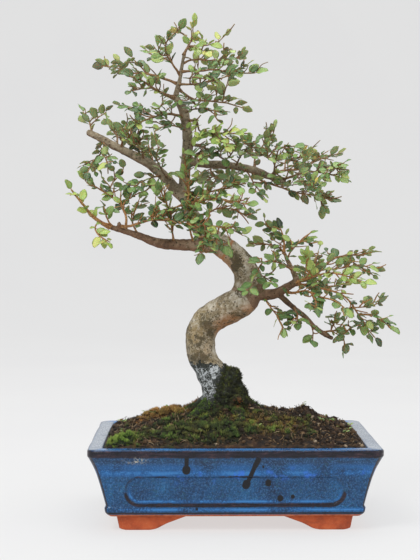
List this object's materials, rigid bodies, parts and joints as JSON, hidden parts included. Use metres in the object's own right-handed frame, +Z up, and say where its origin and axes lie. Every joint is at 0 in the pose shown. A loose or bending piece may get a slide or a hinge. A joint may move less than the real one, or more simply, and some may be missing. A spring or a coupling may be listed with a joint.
{
  "type": "potted bonsai tree",
  "caption": "Small-leaved bonsai with a thick S-curved trunk and leafy pads on bare boughs, standing in a rectangular footed pot glazed blue with moss on the soil.",
  "frame": {"origin": "centre of the footprint, on the surface that the pot's feet stand on", "axes": "+Z up, +X to the viewer's right along the pot's long side, -Y towards the viewer"},
  "size_m": [0.2951, 0.185, 0.4448],
  "materials": {
    "pot_glaze": "gloss",
    "soil": "matte",
    "screen_plastic": "matte",
    "moss": "matte",
    "bark": "matte",
    "leaf_green": "satin",
    "leaf_lime": "satin"
  },
  "bodies": {
    "root": {"drain_screen_left": "screen_plastic", "drain_screen_right": "screen_plastic", "moss_corner": "moss", "moss_front": "moss", "moss_ridge": "moss", "pot": "pot_glaze", "soil": "soil", "spray_bend_front": "leaf_green", "spray_cross_back": "leaf_green", "spray_cross_front": "leaf_green", "spray_cross_high": "leaf_green", "spray_cross_low": "leaf_green", "spray_crown_left": "leaf_green", "spray_crown_left_high": "leaf_green", "spray_crown_left_low": "leaf_green", "spray_crown_right": "leaf_green", "spray_crown_right_back": "leaf_green", "spray_crown_right_front": "leaf_green", "spray_crown_right_high": "leaf_green", "spray_crown_right_low": "leaf_green", "spray_crown_top": "leaf_lime", "spray_low_left_back": "leaf_green", "spray_low_left_leaf": "leaf_green", "spray_low_left_rise": "leaf_green", "spray_low_left_tip": "leaf_lime", "spray_low_right_back": "leaf_green", "spray_low_right_bead": "leaf_green", "spray_low_right_crown": "leaf_green", "spray_low_right_end": "leaf_green", "spray_low_right_fall": "leaf_green", "spray_low_right_front": "leaf_green", "spray_low_right_hang": "leaf_green", "spray_low_right_in": "leaf_green", "spray_low_right_lime": "leaf_lime", "spray_low_right_out": "leaf_green", "spray_low_right_reach": "leaf_green", "spray_low_right_top": "leaf_green", "spray_low_right_tuft": "leaf_green", "spray_mid_left_back": "leaf_green", "spray_mid_left_front": "leaf_green", "spray_mid_left_hang": "leaf_green", "spray_mid_left_inner": "leaf_green", "spray_mid_left_root": "leaf_green", "spray_mid_left_tip": "leaf_green", "spray_mid_left_under": "leaf_green", "spray_mid_left_up": "leaf_green", "spray_right_behind": "leaf_green", "spray_right_bright": "leaf_lime", "spray_right_collar": "leaf_green", "spray_right_drop": "leaf_green", "spray_right_far": "leaf_green", "spray_right_front": "leaf_green", "spray_right_low": "leaf_green", "spray_right_rise": "leaf_green", "spray_right_shoulder": "leaf_green", "spray_right_under": "leaf_green", "spray_upper_left": "leaf_green", "spray_upper_left_low": "leaf_green", "tree_wood": "bark"}
  },
  "joints": []
}
